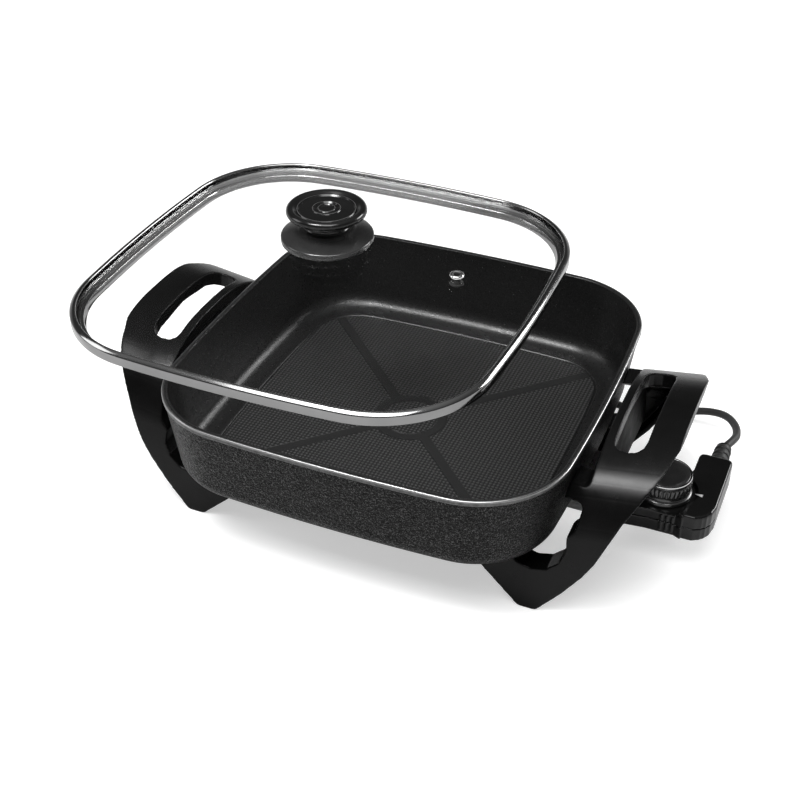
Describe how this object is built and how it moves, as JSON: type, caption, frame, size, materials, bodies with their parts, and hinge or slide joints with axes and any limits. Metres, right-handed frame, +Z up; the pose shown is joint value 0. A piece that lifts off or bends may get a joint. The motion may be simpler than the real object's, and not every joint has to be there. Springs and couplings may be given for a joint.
{
  "type": "electric skillet",
  "caption": "Square electric skillet on two leg-and-handle brackets, with a domed glass lid lifted off and a plug-in temperature controller with its cord.",
  "frame": {"origin": "centre of the underside of the bounding box, on the surface that the feet stand on, without the free cord", "axes": "+Z up, +X from the left handle to the right handle, where the controller plugs in, +Y to the back, where the cord runs"},
  "size_m": [0.4696, 0.4485, 0.2494],
  "materials": {
    "pan_coating": "satin black coating on a casting, bright at the rim",
    "element_sheath": "oxidised sheath",
    "steel": "bright",
    "screw_steel": "plated",
    "bracket_plastic": "moulded black, satin gloss",
    "lid_glass": "clear",
    "lid_steel": "polished",
    "knob_plastic": "moulded black, gloss",
    "case_plastic": "moulded black, gloss",
    "contact_brass": "plain",
    "ceramic": "unglazed insulator, as matt as plastic",
    "dial_plastic": "matt black",
    "bright_ring": "polished",
    "cord_rubber": "matt black"
  },
  "bodies": {
    "skillet": {"skillet_pan": "pan_coating", "heating_element": "element_sheath", "terminal_pin_front": "steel", "terminal_pin_back": "steel", "terminal_guard": "steel", "guard_screw_front": "screw_steel", "guard_screw_back": "screw_steel", "bracket_right": "bracket_plastic", "bracket_left": "bracket_plastic", "bracket_screw_right_front": "screw_steel", "bracket_screw_right_back": "screw_steel", "bracket_screw_left_front": "screw_steel", "bracket_screw_left_back": "screw_steel"},
    "lid": {"lid_glass": "lid_glass", "lid_ring": "lid_steel", "knob_base": "knob_plastic", "knob_grip": "knob_plastic", "knob_screw": "screw_steel", "knob_washer": "steel", "vent_grommet": "steel"},
    "controller": {"controller_top": "case_plastic", "controller_base": "case_plastic", "controller_screw_inner": "screw_steel", "controller_screw_outer": "screw_steel", "probe_tube": "steel", "contact_front": "contact_brass", "contact_back": "contact_brass", "thermostat_block": "ceramic", "thermostat_blade": "contact_brass", "strain_relief": "cord_rubber", "cord_stretch": "cord_rubber", "cord_coil": "cord_rubber", "plug_body": "cord_rubber", "plug_blade_front": "contact_brass", "plug_blade_back": "contact_brass"},
    "dial": {"dial": "dial_plastic", "dial_ring": "bright_ring", "dial_shaft": "bright_ring"}
  },
  "joints": [
    {"name": "lid_lift", "type": "slide", "parent": "skillet", "child": "lid", "axis": [-0.5934, -0.3413, 0.729], "range_m": [-0.0884, 0.06]},
    {"name": "controller_pull", "type": "slide", "parent": "skillet", "child": "controller", "axis": [1, 0, 0], "range_m": [0, 0.09]},
    {"name": "dial_turn", "type": "hinge", "parent": "controller", "child": "dial", "pos_m": [0.19378, 0.0151, 0.058], "axis": [0, 0, -1], "range_deg": [0, 280]}
  ]
}
